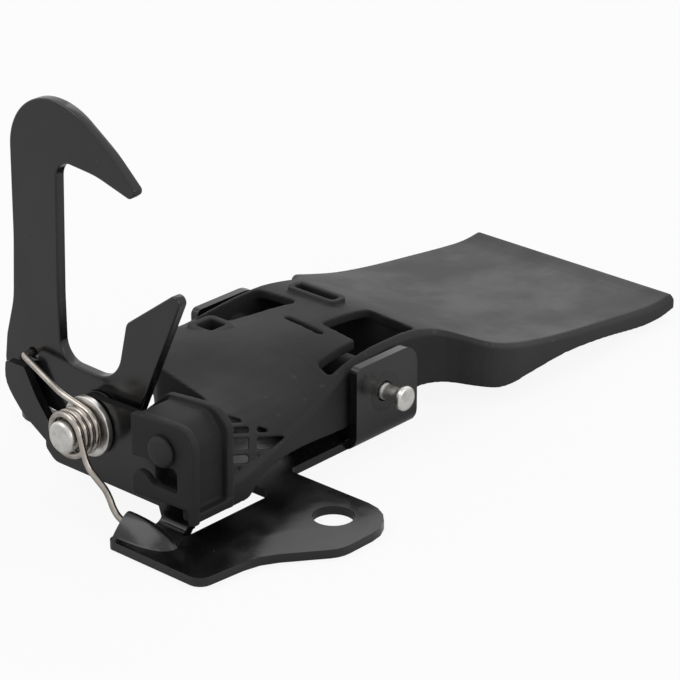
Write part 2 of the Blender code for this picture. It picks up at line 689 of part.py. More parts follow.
def lattice_cutter():
    """Cells between the slats of the triangular lattice beside the nose's rib, drawn at an angle."""
    triangle = [(-4.8, 5.7), (-2.9, 0.0), (-2.2, -4.5), (-0.9, -6.6), (8.6, 0.2)]
    levels = [(-6.7, -5.7), (-4.9, -3.2), (-2.2, 0.3), (1.3, 2.5), (3.5, 6.0)]
    columns = [(-5.5, 1.0), (2.6, 9.0)]
    reach = 16.0
    cells = None
    for left, right in columns:
        for low, high in levels:
            cell = block("cell", (left, low, -reach), (right, high, reach))
            cells = cell if cells is None else add(cells, cell)
    cells = keep(cells, slab("lattice", [triangle], "XY", -reach - CUT_OVER, reach + CUT_OVER))
    turn = Matrix.Rotation(LATTICE_TURN, 4, "Z") @ Matrix.Rotation(math.pi / 2.0 - LATTICE_TILT, 4, "X")
    cells.data.transform(Matrix.Translation(Vector(LATTICE_AT) * MM) @ turn)
    x, y, z = LATTICE_AT
    zone = block("zone", (LATTICE_DEEP, y - reach, z - reach), (x + reach, y + reach, z + reach))
    return keep(cells, zone)


def underside_ribs():
    """Stiffening ribs under the paddle: three along it, and lower ones across it."""
    half = RIB_WIDTH / 2.0
    top = EAR_HEIGHT + SHEET
    ribs = []
    for offset in RIB_COLUMNS:
        x = CENTRE_X + offset
        ribs.append(block("rib", (x - half, RIB_FROM, RIB_LOW), (x + half, TIP_Y - WALL, top)))
    for y in RIB_ROWS:
        low = (CENTRE_X - PADDLE_HALF, y - half, RIB_LOW + RIB_STEP)
        ribs.append(block("rib", low, (CENTRE_X + PADDLE_HALF, y + half, top + RIB_STEP)))
    return add(ribs[0], *ribs[1:])


def release_lever():
    """The moulded lever: cover, nose, barrel and paddle in one piece."""
    body = cut(lever_form("release_lever", 0.0), finger_bay("bay", 0.0))
    hollow = cut(lever_form("hollow", WALL), finger_bay("bay_wall", WALL))
    shell = cut(body, hollow)
    ribs = keep(underside_ribs(), lever_form("rib_trim", RIB_SINK))
    head_wall = block("head_wall", (CENTRE_X - ARM_HALF, HEAD_WALL_FRONT, HEAD_WALL_LOW),
                      (CENTRE_X + ARM_HALF, HEAD_WALL_REAR, COVER_OVER))
    shell = add(shell, ribs, keep(head_wall, lever_form("wall_trim", RIB_SINK)))
    shell = cut(shell, slab("left_window", [rounded(LEFT_WINDOW)], "XY", WINDOW_LOW, COVER_OVER),
                slab("right_window", [box_outline(*RIGHT_WINDOW)], "XY", WINDOW_LOW, COVER_OVER),
                slab("side_window", [box_outline(*SIDE_WINDOW)], "XY", WINDOW_LOW, COVER_OVER),
                slab("slot", [box_outline(*COVER_SLOT)], "XY", SLOT_LOW, COVER_OVER))
    square, square_hole = eyelet("square_eye", *SQUARE_EYE)
    oval, oval_hole = eyelet("oval_eye", *OVAL_EYE)
    shell = add(shell, square, oval)
    shell = cut(shell, square_hole, oval_hole)
    shell = cut(shell, lattice_cutter())
    half = ARM_HALF - GAP
    barrel = turned("barrel", [(0.0, half), (BARREL_R, half), (BARREL_R, -half), (0.0, -half)],
                    (1.0, 0.0, 0.0), (CENTRE_X, PIVOT_Y, PIVOT_Z))
    shell = add(shell, barrel, nose_block())
    bore_r = PIN_R + GAP
    reach = ARM_HALF + BARREL_R
    bore = turned("bore", [(0.0, reach), (bore_r, reach), (bore_r, -reach), (0.0, -reach)],
                  (1.0, 0.0, 0.0), (CENTRE_X, PIVOT_Y, PIVOT_Z))
    shell = cut(shell, bore)
    shell.name = "release_lever"
    return finish(shell, MATERIALS["plastic"], (CENTRE_X, PIVOT_Y, PIVOT_Z))


def lever_pin():
    """The hinge pin: a formed head on the left, a turned neck and a chamfered end on the right."""
    left = -EAR_SPAN - BUSH_FLANGE - 2.0 * GAP
    pin = turned("lever_pin", [
        (0.0, PIN_OUT), (PIN_R - 0.4, PIN_OUT), (PIN_R, PIN_OUT - 0.4), (PIN_R, PIN_OUT - 2.4),
        (PIN_NECK_R, PIN_OUT - 2.4), (PIN_NECK_R, BUSH_FLANGE + 2.0 * GAP),
        (PIN_R, BUSH_FLANGE + 2.0 * GAP),
        (PIN_R, left), (PIN_HEAD_R, left), (PIN_HEAD_R, left - PIN_HEAD + 0.5),
        (PIN_HEAD_R - 0.6, left - PIN_HEAD), (0.0, left - PIN_HEAD)],
        (1.0, 0.0, 0.0), (0.0, PIVOT_Y, PIVOT_Z))
    return finish(pin, MATERIALS["zinc"], (0.0, PIVOT_Y, PIVOT_Z))


def pin_bush(name, side):
    """A flanged bush pressed into an ear, its flange between the ear and the lever's arm."""
    inner = PIN_R + GAP
    outer = inner + BUSH_WALL
    face = SHEET + GAP
    profile = [(inner, 0.0), (outer, 0.0), (outer, -face), (BUSH_FLANGE_R, -face),
               (BUSH_FLANGE_R, -face - BUSH_FLANGE), (inner, -face - BUSH_FLANGE)]
    place = 0.0 if side > 0 else -EAR_SPAN
    bush = turned(name, profile, (float(side), 0.0, 0.0), (place, PIVOT_Y, PIVOT_Z))
    return finish(bush, MATERIALS["nylon"], (place, PIVOT_Y, PIVOT_Z))


def nose_buffer():
    """A rubber plug with a round head, pushed into the nose's front plate."""
    x, z = BUFFER_AT
    stem = BUFFER_R - 0.8 - GAP
    face = GAP
    back = -NOSE_PLATE - GAP
    dome_points = [(BUFFER_R * math.cos(angle), face + 0.4 + 1.4 * math.sin(angle))
                   for angle in [math.radians(90.0 - 15.0 * step) for step in range(7)]]
    dome_points[0] = (0.0, dome_points[0][1])
    profile = dome_points + [(BUFFER_R, face), (stem, face), (stem, back), (stem + 0.6, back),
                             (stem + 0.2, back - 0.8), (0.0, back - 0.8)]
    plug = turned("nose_buffer", profile, (0.0, -1.0, 0.0), (x, NOSE_FRONT, z), 24)
    return finish(plug, MATERIALS["rubber"], (x, NOSE_FRONT, z))


def build():
    base_bracket()
    safety_hook()
    hook_fixings()
    hook_spring()
    release_lever()
    lever_pin()
    pin_bush("pin_bush_right", 1)
    pin_bush("pin_bush_left", -1)
    nose_buffer()


clear_scene()
PARTS = make_collection("bonnet_latch")
MATERIALS = {
    "steel": make_material("black_coated_steel", (0.012, 0.012, 0.013), 0.35, 0.32),
    "plastic": make_material("black_moulded_plastic", (0.02, 0.02, 0.02), 0.0, 0.62),
    "zinc": make_material("zinc_plated_steel", (0.56, 0.56, 0.54), 1.0, 0.34),
    "spring": make_material("bright_spring_wire", (0.46, 0.43, 0.40), 1.0, 0.28),
    "nylon": make_material("dark_nylon", (0.05, 0.05, 0.05), 0.0, 0.5),
    "rubber": make_material("black_rubber", (0.015, 0.015, 0.015), 0.0, 0.8),
}
build()
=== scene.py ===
"""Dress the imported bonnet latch: rounded sheet edges, moulded skin, drawn wire and finishes."""

import math

import bmesh
import bpy
import numpy as np
from bpy.props import FloatProperty, FloatVectorProperty, IntProperty, PointerProperty
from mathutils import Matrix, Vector


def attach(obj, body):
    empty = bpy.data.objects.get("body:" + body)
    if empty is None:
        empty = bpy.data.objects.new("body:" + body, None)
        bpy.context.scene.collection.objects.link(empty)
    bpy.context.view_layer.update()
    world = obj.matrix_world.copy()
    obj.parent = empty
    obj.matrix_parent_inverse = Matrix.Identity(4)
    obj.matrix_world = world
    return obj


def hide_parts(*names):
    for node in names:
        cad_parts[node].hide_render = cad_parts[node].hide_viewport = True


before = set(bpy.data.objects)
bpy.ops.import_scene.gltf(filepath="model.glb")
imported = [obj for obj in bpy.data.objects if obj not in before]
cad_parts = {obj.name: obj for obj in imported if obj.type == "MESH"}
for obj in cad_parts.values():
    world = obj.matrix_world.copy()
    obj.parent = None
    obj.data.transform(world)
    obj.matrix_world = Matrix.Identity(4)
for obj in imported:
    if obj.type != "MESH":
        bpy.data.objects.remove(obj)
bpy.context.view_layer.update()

bl_info = {
    "name": "Bonnet latch",
    "version": (1, 0, 0),
    "blender": (4, 5, 0),
    "location": "3D View > Sidebar > Latch",
    "description": "Builds the visible pieces and finishes of a bonnet latch on its CAD frame",
    "category": "Object",
}

MM = 0.001
PHOTO_PX = 680.0
FOCAL_PX = 3000.0
SENSOR_MM = 36.0

# The camera that the photo was fitted with, in the part's frame, in metres
CAMERA_AT = (0.41422, -0.44679, 0.28790)
CAMERA_LOOK = (-0.61128, 0.67889, -0.40674)

EVEN = (1.0, 1.0, 1.0)

# The drawing's zero is the right ear's front corner. Its sizes are in millimetres.
DRAWING_ZERO = (-25.0, 9.1, 0.0)
EAR_SPAN = 50.0
PIN_Y = 9.1
PIN_Z = 12.0
HOOK_X = -26.7
HOOK_Z = 17.5
STUD_FRONT = -62.3
STUD_R = 3.55
WASHER_FRONT = -54.7
WASHER_REAR = -53.3
WASHER_R = 6.65
HOOK_FRONT = -49.9
HOOK_REAR = -47.4
WIRE_R = 0.72
COIL_TURNS = 3
COIL_PITCH = 1.56
COIL_LOOSE = 0.14
COIL_STEPS = 180
FIT = 0.3
WASHER_BORE = STUD_R + FIT
SLIP_R = 6.5
SLIP_SHEET = 0.5
REAR_WASHER_R = STUD_R + 3.2
REAR_WASHER_SHEET = 1.0
PLATE_ROUND = 0.4
PLATE_STEPS = 6
NECK_R = 1.7
PIN_END_R = 2.78
PIN_SHANK_R = 2.9
PIN_HEAD_R = 4.6
BUSH_R = 5.6
LEVER_FACES = 92000.0
BUFFER_AT = (-1.5, -57.2, 21.1)
BUFFER_R = 3.4
BUFFER_CROWN = 1.4

# The spring seat's dome on the bracket's tab: the corners of a box round it
DOME_LOW = (-9.1, -65.6, 2.12)
DOME_HIGH = (5.2, -55.0, 7.5)

# The spring's wire: its end in the hook, its knee in X and Z, and its lower leg in X and Z
LEG_END = (-47.5, HOOK_FRONT + 1.7, 26.4)
LEG_KNEE = (-47.7, 27.0)
LEG_KNEE_Y = HOOK_FRONT - 2.8
LEG_BEND = 1.3
LEG_LEVEL_SHARE = 0.66
COIL_EXIT = 17.0
LOWER_LEG = (
    (-21.5, 16.5), (-20.6, 13.8), (-19.3, 11.9), (-17.2, 10.4), (-15.2, 9.0), (-13.9, 7.3), (-13.0, 5.6))
LEG_FOOT = ((-10.2, -60.5, 3.2), (-8.5, -60.4, 2.4))

EYE_R = 8.0
EYE_FROM = -27.0
EYE_TO = -155.0
LEG_HOLE = (-47.4, 26.4)
LEG_HOLE_R = 1.25

# The hook's outline after its eye: the corners in X and Z, and the radius that rounds each one
HOOK_CORNERS = (
    (-45.5, 15.2, 8.0), (-56.9, 20.4, 4.0), (-55.8, 28.6, 10.0), (-53.2, 37.5, 20.0), (-52.3, 52.0, 60.0),
    (-51.9, 85.25, 13.0), (-33.6, 85.25, 17.0), (-21.9, 77.5, 30.0), (-14.7, 71.0, 1.1), (-16.9, 69.2, 1.0),
    (-26.5, 71.8, 20.0), (-38.1, 72.7, 4.0), (-39.1, 42.0, 60.0), (-39.0, 27.5, 4.8), (-22.3, 27.1, 7.6),
    (-18.9, 41.6, 2.6), (-1.2, 54.6, 1.5))

# Each lamp's name, place in metres, size in metres and power in watts
LAMPS = (
    ("key", (-0.35, -0.45, 0.75), 0.55, 1.7),
    ("side", (0.75, 0.05, 0.45), 0.5, 1.5),
    ("back", (-0.25, 0.75, 0.55), 0.6, 1.3))
LAMP_AIM = (0.0, 0.0, 0.03)
WORLD_LIGHT = 0.45
FLOOR_REACH = 3.0
FLOOR_LOW = -0.0005
FLOOR_LIFT = 0.9


class LatchLook(bpy.types.PropertyGroup):
    """Sizes and colours of the latch's finish."""

    sheet_round: FloatProperty(
        name="Sheet edge", description="Radius of the punched sheet's broken edges",
        default=0.35 * MM, unit="LENGTH")
    mould_voxel: FloatProperty(
        name="Mould grain size", description="Cell size that rounds the moulding's edges",
        default=0.27 * MM, unit="LENGTH")
    turn_steps: IntProperty(
        name="Turning steps", description="Facets round each turned piece", default=96)
    steel_colour: FloatVectorProperty(
        name="Coated steel", description="Colour of the black coat", subtype="COLOR",
        default=(0.0045, 0.0045, 0.0048))
    plastic_colour: FloatVectorProperty(
        name="Moulded plastic", description="Colour of the lever", subtype="COLOR",
        default=(0.0065, 0.0065, 0.0064))
    zinc_colour: FloatVectorProperty(
        name="Zinc", description="Colour of the plated pins", subtype="COLOR",
        default=(0.68, 0.67, 0.64))
    wire_colour: FloatVectorProperty(
        name="Spring wire", description="Colour of the drawn wire", subtype="COLOR",
        default=(0.47, 0.43, 0.39))
    rubber_colour: FloatVectorProperty(
        name="Rubber", description="Colour of the buffer", subtype="COLOR",
        default=(0.014, 0.014, 0.014))
    nylon_colour: FloatVectorProperty(
        name="Nylon", description="Colour of the bushes and the slip washer", subtype="COLOR",
        default=(0.006, 0.006, 0.006))


# Node groups shared by the finishes

def open_group(name, inputs, outputs):
    """A new shader node group with named sockets, its input node and its output node."""
    tree = bpy.data.node_groups.new(name, "ShaderNodeTree")
    for label, value in inputs:
        kind = "NodeSocketVector" if isinstance(value, tuple) else "NodeSocketFloat"
        tree.interface.new_socket(label, in_out="INPUT", socket_type=kind).default_value = value
    for label in outputs:
        tree.interface.new_socket(label, in_out="OUTPUT", socket_type="NodeSocketFloat")
    return tree, tree.nodes.new("NodeGroupInput"), tree.nodes.new("NodeGroupOutput")


def streak_group():
    """Soft-edged noise in stretched object coordinates, as a 0 to 1 mask."""
    found = bpy.data.node_groups.get("streaks")
    if found:
        return found
    tree, start, end = open_group(
        "streaks", [("Stretch", EVEN), ("Scale", 60.0), ("From", 0.45), ("To", 0.7)], ["Mask"])
    coordinates = tree.nodes.new("ShaderNodeTexCoord")
    stretch = tree.nodes.new("ShaderNodeVectorMath")
    stretch.operation = "MULTIPLY"
    noise = tree.nodes.new("ShaderNodeTexNoise")
    noise.inputs["Detail"].default_value = 6.0
    noise.inputs["Roughness"].default_value = 0.6
    span = tree.nodes.new("ShaderNodeMapRange")
    span.interpolation_type = "SMOOTHSTEP"
    tree.links.new(coordinates.outputs["Object"], stretch.inputs[0])
    tree.links.new(start.outputs["Stretch"], stretch.inputs[1])
    tree.links.new(stretch.outputs["Vector"], noise.inputs["Vector"])
    tree.links.new(start.outputs["Scale"], noise.inputs["Scale"])
    tree.links.new(noise.outputs["Fac"], span.inputs["Value"])
    tree.links.new(start.outputs["From"], span.inputs["From Min"])
    tree.links.new(start.outputs["To"], span.inputs["From Max"])
    tree.links.new(span.outputs["Result"], end.inputs["Mask"])
    return tree


def speck_group():
    """Small round specks: one per cell, where the distance to the cell's point is under a size."""
    found = bpy.data.node_groups.get("specks")
    if found:
        return found
    tree, start, end = open_group("specks", [("Scale", 300.0), ("Size", 0.12), ("Share", 0.5)], ["Mask"])
    coordinates = tree.nodes.new("ShaderNodeTexCoord")
    cells = tree.nodes.new("ShaderNodeTexVoronoi")
    patch = tree.nodes.new("ShaderNodeTexNoise")
    patch.inputs["Scale"].default_value = 90.0
    near = tree.nodes.new("ShaderNodeMath")
    near.operation = "LESS_THAN"
    some = tree.nodes.new("ShaderNodeMath")
    some.operation = "GREATER_THAN"
    both = tree.nodes.new("ShaderNodeMath")
    both.operation = "MULTIPLY"
    tree.links.new(coordinates.outputs["Object"], cells.inputs["Vector"])
    tree.links.new(coordinates.outputs["Object"], patch.inputs["Vector"])
    tree.links.new(start.outputs["Scale"], cells.inputs["Scale"])
    tree.links.new(cells.outputs["Distance"], near.inputs[0])
    tree.links.new(start.outputs["Size"], near.inputs[1])
    tree.links.new(patch.outputs["Fac"], some.inputs[0])
    tree.links.new(start.outputs["Share"], some.inputs[1])
    tree.links.new(near.outputs[0], both.inputs[0])
    tree.links.new(some.outputs[0], both.inputs[1])
    tree.links.new(both.outputs[0], end.inputs["Mask"])
    return tree


def grain_group():
    """Fine surface grain: the sum of two noises, as a height."""
    found = bpy.data.node_groups.get("grain")
    if found:
        return found
    tree, start, end = open_group("grain", [("Scale", 2000.0), ("Swell", 0.3)], ["Height"])
    coordinates = tree.nodes.new("ShaderNodeTexCoord")
    fine = tree.nodes.new("ShaderNodeTexNoise")
    fine.inputs["Detail"].default_value = 3.0
    broad = tree.nodes.new("ShaderNodeTexNoise")
    share = tree.nodes.new("ShaderNodeMath")
    share.operation = "MULTIPLY"
    share.inputs[1].default_value = 0.12
    mixer = tree.nodes.new("ShaderNodeMath")
    mixer.operation = "MULTIPLY_ADD"
    tree.links.new(coordinates.outputs["Object"], fine.inputs["Vector"])
    tree.links.new(coordinates.outputs["Object"], broad.inputs["Vector"])
    tree.links.new(start.outputs["Scale"], fine.inputs["Scale"])
    tree.links.new(start.outputs["Scale"], share.inputs[0])
    tree.links.new(share.outputs[0], broad.inputs["Scale"])
    tree.links.new(broad.outputs["Fac"], mixer.inputs[0])
    tree.links.new(start.outputs["Swell"], mixer.inputs[1])
    tree.links.new(fine.outputs["Fac"], mixer.inputs[2])
    tree.links.new(mixer.outputs[0], end.inputs["Height"])
    return tree


def use_group(tree, group, **values):
    """Place a node group in a material with its own values."""
    node = tree.nodes.new("ShaderNodeGroup")
    node.node_tree = group
    for label, value in values.items():
        node.inputs[label].default_value = value
    return node


def mix_colour(tree, mask, first, second):
    """A colour between two, by a mask. Either colour may be a socket."""
    node = tree.nodes.new("ShaderNodeMix")
    node.data_type = "RGBA"
    tree.links.new(mask, node.inputs["Factor"])
    for label, colour in (("A", first), ("B", second)):
        socket = [entry for entry in node.inputs if entry.name == label and entry.type == "RGBA"][0]
        if isinstance(colour, bpy.types.NodeSocket):
            tree.links.new(colour, socket)
        else:
            socket.default_value = (*colour[:3], 1.0)
    return [entry for entry in node.outputs if entry.type == "RGBA"][0]


def spread(tree, value, low, high):
    """Map a 0 to 1 value between two numbers."""
    node = tree.nodes.new("ShaderNodeMapRange")
    node.inputs["To Min"].default_value = low
    node.inputs["To Max"].default_value = high
    tree.links.new(value, node.inputs["Value"])
    return node.outputs["Result"]


def times(tree, first, second):
    """The product of two masks, or of a mask and a number."""
    node = tree.nodes.new("ShaderNodeMath")
    node.operation = "MULTIPLY"
    tree.links.new(first, node.inputs[0])
    if isinstance(second, bpy.types.NodeSocket):
        tree.links.new(second, node.inputs[1])
    else:
        node.inputs[1].default_value = second
    return node.outputs[0]


def open_material(name, metallic, specular):
    """A new node material with its Principled shader and its tree."""
    found = bpy.data.materials.get(name)
    if found:
        bpy.data.materials.remove(found)
    material = bpy.data.materials.new(name)
    material.use_nodes = True
    tree = material.node_tree
    shader = tree.nodes["Principled BSDF"]
    shader.inputs["Metallic"].default_value = metallic
    shader.inputs["Specular IOR Level"].default_value = specular
    return material, tree, shader


def bump(tree, shader, height, depth, strength):
    """Feed a height through a Bump node to the shader's normal."""
    node = tree.nodes.new("ShaderNodeBump")
    node.inputs["Strength"].default_value = strength
    node.inputs["Distance"].default_value = depth
    tree.links.new(height, node.inputs["Height"])
    tree.links.new(node.outputs["Normal"], shader.inputs["Normal"])


def coated_steel(look, name="semi_gloss_coat", edge_wear_and_highlight=0.0):
    """Half-gloss black coat with a slight orange peel, cloudy gloss, fine scuffs and dust specks.
    The edge value mixes in the paler, duller coat of the rounded edges: partly real wear, partly a painted
    highlight."""
    material, tree, shader = open_material(name, 0.0, 0.5)
    cloud = use_group(tree, streak_group(), Scale=80.0, From=0.35, To=0.68, Stretch=(1.0, 1.0, 0.6))
    scuff = use_group(tree, streak_group(), Scale=160.0, From=0.62, To=0.76, Stretch=(1.0, 1.0, 0.25))
    dust = use_group(tree, speck_group(), Scale=520.0, Size=0.07, Share=0.54)
    # the edge value lightens the coat: partly real edge wear, partly painted highlight on the rounded edges
    deep = tuple(channel * (1.0 + 2.0 * edge_wear_and_highlight) for channel in look.steel_colour)
    pale = tuple(channel * 2.0 for channel in deep)
    colour = mix_colour(tree, cloud.outputs["Mask"], deep, pale)
    colour = mix_colour(tree, times(tree, scuff.outputs["Mask"], 0.25 + 0.4 * edge_wear_and_highlight), colour,
                        (0.03, 0.03, 0.031))
    colour = mix_colour(tree, times(tree, dust.outputs["Mask"], 0.35), colour, (0.16, 0.16, 0.155))
    tree.links.new(colour, shader.inputs["Base Color"])
    tree.links.new(spread(tree, cloud.outputs["Mask"], 0.13, 0.26), shader.inputs["Roughness"])
    grain = use_group(tree, grain_group(), Scale=900.0, Swell=1.2)
    bump(tree, shader, grain.outputs["Height"], 0.03 * MM, 0.3)
    return material


def moulded_plastic(look):
    """Matt black moulding: fine spark grain, short pale scratches, edges made paler where they are pointed
    (partly wear, partly painted highlight), and a paddle that hands have polished, so that its roughness
    falls from the cover towards the tip."""
    material, tree, shader = open_material("fine_grain_moulding", 0.0, 0.36)
    haze = use_group(tree, streak_group(), Scale=55.0, From=0.36, To=0.68, Stretch=(1.0, 0.7, 1.0))
    scratch = use_group(tree, streak_group(), Scale=150.0, From=0.64, To=0.74, Stretch=(1.0, 0.12, 1.0))
    dust = use_group(tree, speck_group(), Scale=700.0, Size=0.07, Share=0.52)
    # pointiness lightens the sharp edges: partly wear, partly painted highlight where the edges catch the
    # light
    edge = tree.nodes.new("ShaderNodeNewGeometry")
    worn_and_lit_edge = tree.nodes.new("ShaderNodeMapRange")
    worn_and_lit_edge.inputs["From Min"].default_value = 0.53
    worn_and_lit_edge.inputs["From Max"].default_value = 0.66
    tree.links.new(edge.outputs["Pointiness"], worn_and_lit_edge.inputs["Value"])
    deep = tuple(look.plastic_colour)
    pale = tuple(channel * 2.8 for channel in deep)
    colour = mix_colour(tree, haze.outputs["Mask"], deep, pale)
    colour = mix_colour(tree, times(tree, scratch.outputs["Mask"], 0.3), colour, (0.045, 0.045, 0.044))
    colour = mix_colour(tree, times(tree, worn_and_lit_edge.outputs["Result"], 0.7), colour, (0.04, 0.04, 0.039))
    colour = mix_colour(tree, times(tree, dust.outputs["Mask"], 0.35), colour, (0.12, 0.12, 0.115))
    tree.links.new(colour, shader.inputs["Base Color"])
    place = tree.nodes.new("ShaderNodeTexCoord")
    axes = tree.nodes.new("ShaderNodeSeparateXYZ")
    handled = tree.nodes.new("ShaderNodeMapRange")
    handled.interpolation_type = "SMOOTHSTEP"
    handled.inputs["From Min"].default_value = 8.0 * MM
    handled.inputs["From Max"].default_value = 48.0 * MM
    handled.inputs["To Max"].default_value = 0.24
    tree.links.new(place.outputs["Object"], axes.inputs["Vector"])
    tree.links.new(axes.outputs["Y"], handled.inputs["Value"])
    polished = tree.nodes.new("ShaderNodeMath")
    polished.operation = "SUBTRACT"
    tree.links.new(spread(tree, haze.outputs["Mask"], 0.66, 0.82), polished.inputs[0])
    tree.links.new(handled.outputs["Result"], polished.inputs[1])
    tree.links.new(polished.outputs[0], shader.inputs["Roughness"])
    grain = use_group(tree, grain_group(), Scale=2600.0, Swell=0.5)
    bump(tree, shader, grain.outputs["Height"], 0.04 * MM, 0.4)
    return material


def plated_zinc(look):
    """Bright zinc plate: fine turning lines and cloudy white bloom."""
    material, tree, shader = open_material("zinc_plate", 1.0, 0.5)
    bloom = use_group(tree, streak_group(), Scale=320.0, From=0.38, To=0.66, Stretch=EVEN)
    lines = use_group(tree, streak_group(), Scale=520.0, From=0.3, To=0.75, Stretch=(0.15, 4.0, 0.15))
    bright = tuple(look.zinc_colour)
    dull = tuple(channel * 0.74 for channel in bright)
    tree.links.new(mix_colour(tree, bloom.outputs["Mask"], bright, dull), shader.inputs["Base Color"])
    tree.links.new(spread(tree, bloom.outputs["Mask"], 0.28, 0.46), shader.inputs["Roughness"])
    bump(tree, shader, lines.outputs["Mask"], 0.02 * MM, 0.25)
    return material


def hazed_finish(name, shine, haze, colours, roughness, grain):
    """A plain finish: two colours and two roughnesses mixed by soft noise, over a fine grain. Shine is
    metallic and specular, haze is scale and limits, grain is scale, swell, depth and strength."""
    material, tree, shader = open_material(name, *shine)
    scale, low, high = haze
    cloud = use_group(tree, streak_group(), Scale=scale, From=low, To=high, Stretch=EVEN)
    tree.links.new(mix_colour(tree, cloud.outputs["Mask"], *colours), shader.inputs["Base Color"])
    tree.links.new(spread(tree, cloud.outputs["Mask"], *roughness), shader.inputs["Roughness"])
    scale, swell, depth, strength = grain
    fine = use_group(tree, grain_group(), Scale=scale, Swell=swell)
    bump(tree, shader, fine.outputs["Height"], depth * MM, strength)
    return material


def toned(colour, share):
    """A colour and the same colour times a share."""
    return tuple(colour), tuple(channel * share for channel in colour)


def drawn_wire(look):
    """Bright drawn spring wire with a faint warm tint."""
    return hazed_finish("drawn_wire", (1.0, 0.5), (220.0, 0.35, 0.7), toned(look.wire_colour, 0.62),
                        (0.18, 0.34), (3000.0, 0.4, 0.01, 0.3))


def dull_rubber(look):
    """Dull black rubber with a fine bloom."""
    return hazed_finish("dull_rubber", (0.0, 0.3), (300.0, 0.4, 0.7), toned(look.rubber_colour, 2.0),
                        (0.6, 0.78), (2400.0, 0.6, 0.03, 0.4))


def plain_nylon(look):
    """Black nylon of the bushes and the slip washer."""
    return hazed_finish("black_nylon", (0.0, 0.45), (200.0, 0.4, 0.7), toned(look.nylon_colour, 2.0),
                        (0.26, 0.38), (1800.0, 0.6, 0.02, 0.3))


# Mesh helpers

def collection():
    """The collection that holds the new pieces."""
    found = bpy.data.collections.get("latch_pieces")
    if found is None:
        found = bpy.data.collections.new("latch_pieces")
        bpy.context.scene.collection.children.link(found)
    return found


def finish_piece(piece, materials, body, slot, *nodes):
    """Give a new piece its finishes, its body and the nodes that it stands for."""
    piece.data.materials.clear()
    for material in materials:
        piece.data.materials.append(material)
    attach(piece, body)
    if nodes:
        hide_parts(*nodes)
    return piece


def merged_copy(node, name, flat=math.radians(0.6)):
    """A copy of a CAD node's mesh with its loose triangles merged into faces."""
    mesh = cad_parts[node].data.copy()
    mesh.name = name
    edit = bmesh.new()
    edit.from_mesh(mesh)
    bmesh.ops.remove_doubles(edit, verts=edit.verts, dist=0.001 * MM)
    bmesh.ops.dissolve_limit(edit, angle_limit=flat, verts=edit.verts, edges=edit.edges)
    edit.to_mesh(mesh)
    edit.free()
    piece = bpy.data.objects.new(name, mesh)
    collection().objects.link(piece)
    return piece


def soften(piece, low, high, cuts, rounds):
    """Round the coarse facets inside a box of the drawing: its edges are cut, then each point moves
    half way to the mean of its neighbours, a number of times. Points on the box's left end keep x."""
    least, most = placed(low, high)
    edit = bmesh.new()
    edit.from_mesh(piece.data)

    def inside(vert):
        return all(least[axis] < vert.co[axis] < most[axis] for axis in range(3))

    edges = [edge for edge in edit.edges if inside(edge.verts[0]) and inside(edge.verts[1])]
    bmesh.ops.subdivide_edges(edit, edges=edges, cuts=cuts, use_grid_fill=True)
    held = [vert for vert in edit.verts if inside(vert) and vert.co.x < least[0] + 0.2 * MM]
    free = [vert for vert in edit.verts if inside(vert) and vert.co.x >= least[0] + 0.2 * MM]
    for _ in range(rounds):
        bmesh.ops.smooth_vert(edit, verts=held, factor=0.5, use_axis_y=True, use_axis_z=True)
        bmesh.ops.smooth_vert(edit, verts=free, factor=0.5,
                              use_axis_x=True, use_axis_y=True, use_axis_z=True)
    edit.to_mesh(piece.data)
    edit.free()


def grid_piece(name, grid, close_u, close_v):
    """A mesh from a grid of points, whose rows and columns may close on themselves."""
    rows, columns = grid.shape[:2]
    u = np.arange(rows if close_u else rows - 1)
    v = np.arange(columns if close_v else columns - 1)
    uu, vv = np.meshgrid(u, v, indexing="ij")
    nu = (uu + 1) % rows
    nv = (vv + 1) % columns
    quads = np.stack([uu * columns + vv, nu * columns + vv, nu * columns + nv, uu * columns + nv], -1)
    faces = quads.reshape(-1, 4)
    mesh = bpy.data.meshes.new(name)
    mesh.vertices.add(rows * columns)
    mesh.vertices.foreach_set("co", grid.reshape(-1).astype(np.float32))
    mesh.loops.add(faces.size)
    mesh.loops.foreach_set("vertex_index", faces.reshape(-1).astype(np.int32))
    mesh.polygons.add(len(faces))
    mesh.polygons.foreach_set("loop_start", np.arange(0, faces.size, 4, dtype=np.int32))
    mesh.update(calc_edges=True)
    edit = bmesh.new()
    edit.from_mesh(mesh)
    bmesh.ops.remove_doubles(edit, verts=edit.verts, dist=0.0005 * MM)
    bmesh.ops.holes_fill(edit, edges=edit.edges)
    bmesh.ops.recalc_face_normals(edit, faces=edit.faces)
    edit.to_mesh(mesh)
    edit.free()
    mesh.shade_smooth()
    mesh.set_sharp_from_angle(angle=math.radians(40.0))
    piece = bpy.data.objects.new(name, mesh)
    collection().objects.link(piece)
    return piece


def placed(*points):
    """Points of the drawing, in millimetres, in the part's frame in metres."""
    return (np.array(points, float) - np.array(DRAWING_ZERO)) * MM


def eased(profile, radius, steps=4):
    """Round each inner corner of a (height, radius) profile: between the points at the given
    distance before and after the corner, the curve is (1-t)^2 before + 2t(1-t) corner + t^2 after."""
    points = np.array(profile, float)
    rounded = [points[0]]
    share = np.linspace(0.0, 1.0, steps + 1)[:, None]
    for before, corner, after in zip(points[:-2], points[1:-1], points[2:]):
        back = before - corner
        ahead = after - corner
        reach = min(radius, 0.45 * np.linalg.norm(back), 0.45 * np.linalg.norm(ahead))
        first = corner + back / np.linalg.norm(back) * reach
        last = corner + ahead / np.linalg.norm(ahead) * reach
        rounded.extend((1 - share) ** 2 * first + 2 * share * (1 - share) * corner + share ** 2 * last)
    rounded.append(points[-1])
    return np.array(rounded)


